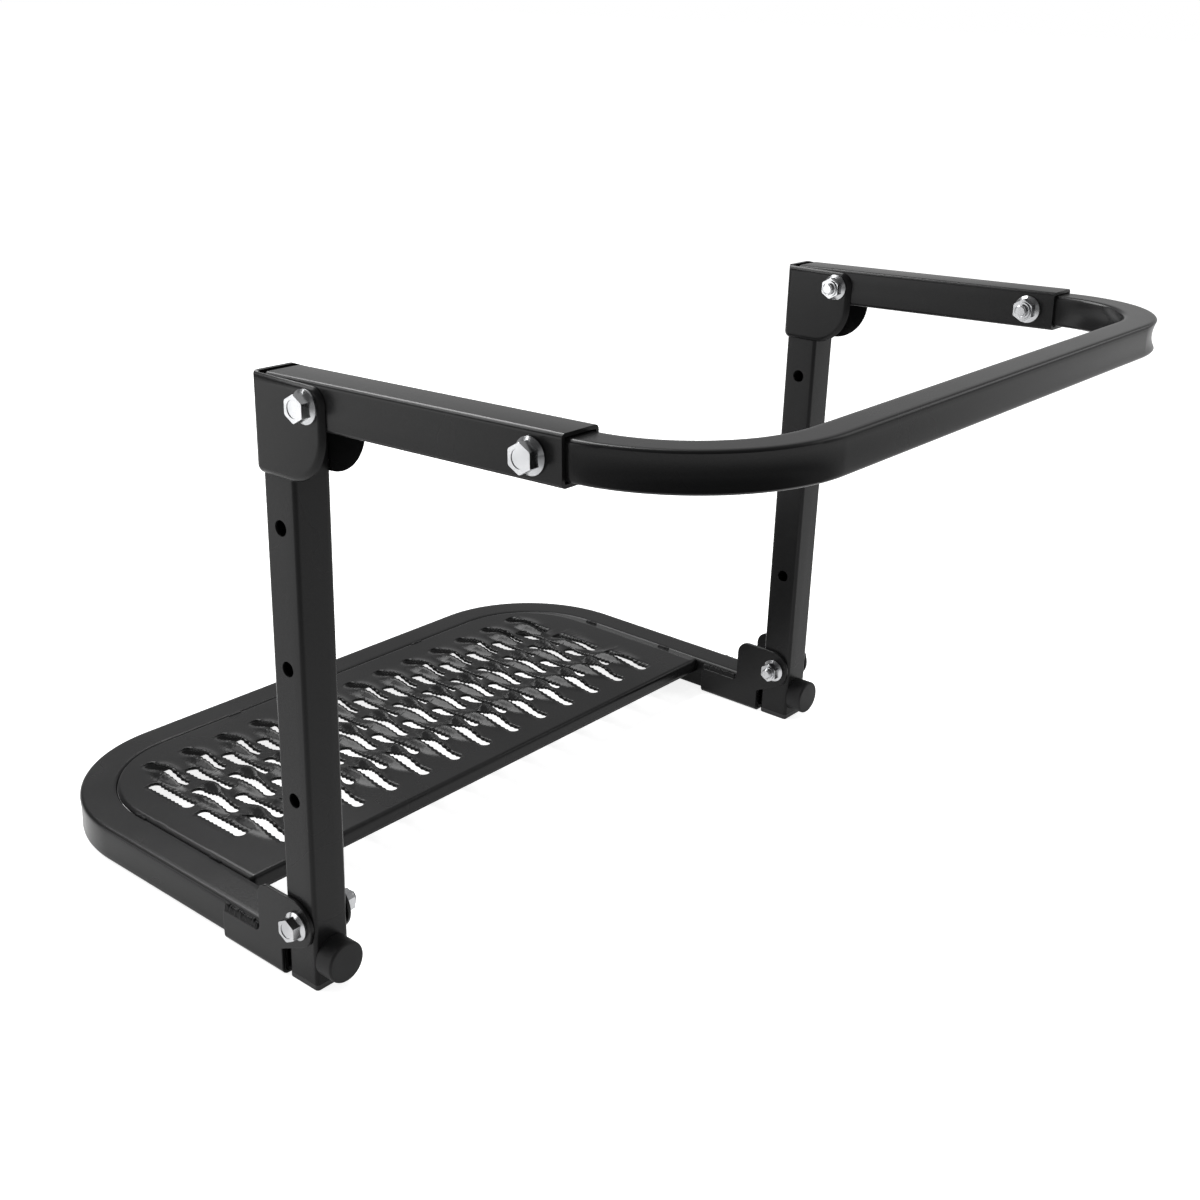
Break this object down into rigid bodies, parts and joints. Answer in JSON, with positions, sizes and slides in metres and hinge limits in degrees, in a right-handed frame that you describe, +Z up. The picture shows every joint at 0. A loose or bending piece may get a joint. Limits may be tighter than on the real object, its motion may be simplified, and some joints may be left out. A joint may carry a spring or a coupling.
{
  "type": "tire step",
  "caption": "Folding tire step: a tube loop hangs over a vehicle's tire and a slotted platform on legs below it gives a foothold; loop and platform fold flat.",
  "frame": {"origin": "on the floor, under the middle of the whole step", "axes": "+X across the step to the right of a person standing on it and facing the tire, +Y towards the tire, +Z up"},
  "size_m": [0.5432, 0.5818, 0.3748],
  "materials": {
    "powder_coat": "satin black powder coat",
    "zinc": "bright zinc plate",
    "rubber": "matte black",
    "plastic": "fine-grained black"
  },
  "bodies": {
    "legs": {"leg_left": "powder_coat", "leg_right": "powder_coat", "hinge_bracket_left": "powder_coat", "hinge_bracket_right": "powder_coat", "upper_pivot_bolts": "zinc", "upper_pivot_nuts": "zinc", "lower_pivot_bolts": "zinc", "lower_pivot_nuts": "zinc", "leg_end_cap_left": "plastic", "leg_end_cap_right": "plastic", "bumper_left": "rubber", "bumper_right": "rubber"},
    "loop": {"loop_bar": "powder_coat", "arm_sleeve_left": "powder_coat", "arm_sleeve_right": "powder_coat", "sleeve_bolts": "zinc", "sleeve_nuts": "zinc"},
    "platform": {"step_frame": "powder_coat", "tread_plate": "powder_coat", "step_bracket_left": "powder_coat", "step_bracket_right": "powder_coat"}
  },
  "joints": [
    {"name": "loop_fold", "type": "hinge", "parent": "legs", "child": "loop", "pos_m": [0, 0.03674, 0.356], "axis": [-1, 0, 0], "range_deg": [0, 92]},
    {"name": "platform_fold", "type": "hinge", "parent": "legs", "child": "platform", "pos_m": [0, 0.00914, 0.042], "axis": [-1, 0, 0], "range_deg": [0, 90]}
  ]
}
